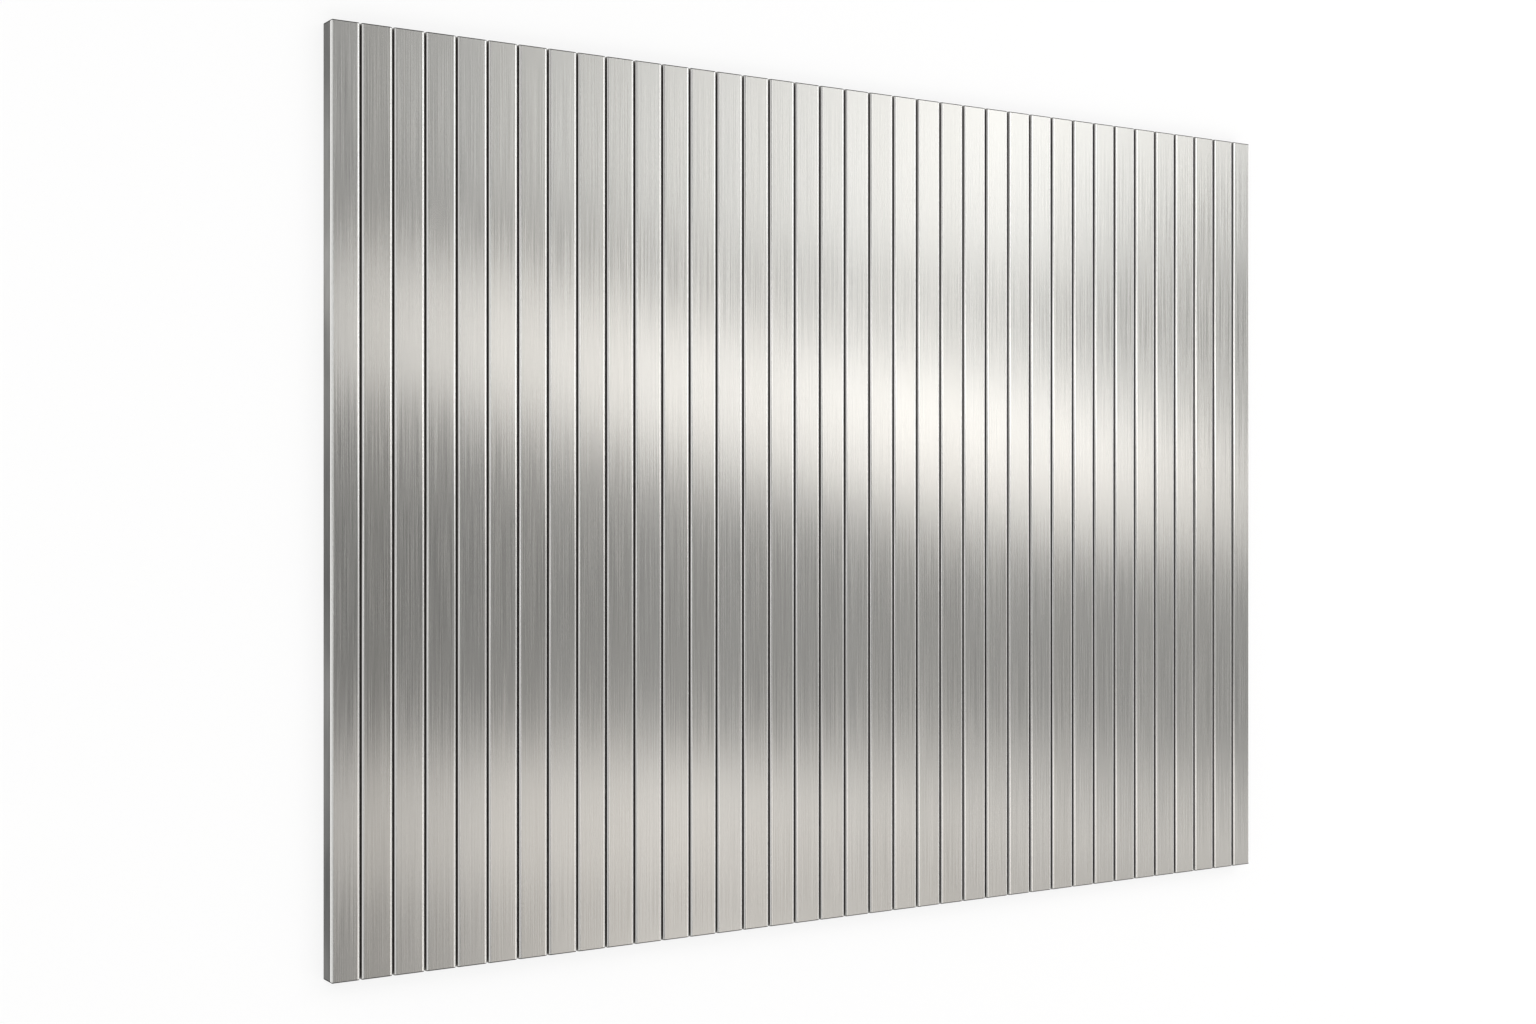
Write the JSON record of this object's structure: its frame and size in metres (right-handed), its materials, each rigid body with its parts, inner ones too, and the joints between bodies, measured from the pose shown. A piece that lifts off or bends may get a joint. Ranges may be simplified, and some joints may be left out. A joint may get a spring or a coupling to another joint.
{
  "type": "stainless steel sheet",
  "caption": "Flat rectangular stainless steel sheet, brushed, its face parted into equal strips by narrow straight grooves with bevelled lips; it lies on a plain back.",
  "frame": {"origin": "middle of the flat back, with the sheet lying on its back", "axes": "+X across the grooves, along the sheet's width; +Y along the grooves, towards the end that is upper when the sheet is set upright; +Z out of the grooved face, along the thickness"},
  "size_m": [0.6, 0.45, 0.01],
  "materials": {
    "brushed_stainless": "satin, brushed along the grooves, with brighter lips and a duller slot inside each groove"
  },
  "bodies": {
    "root": {"grooved_sheet": "brushed_stainless"}
  },
  "joints": []
}
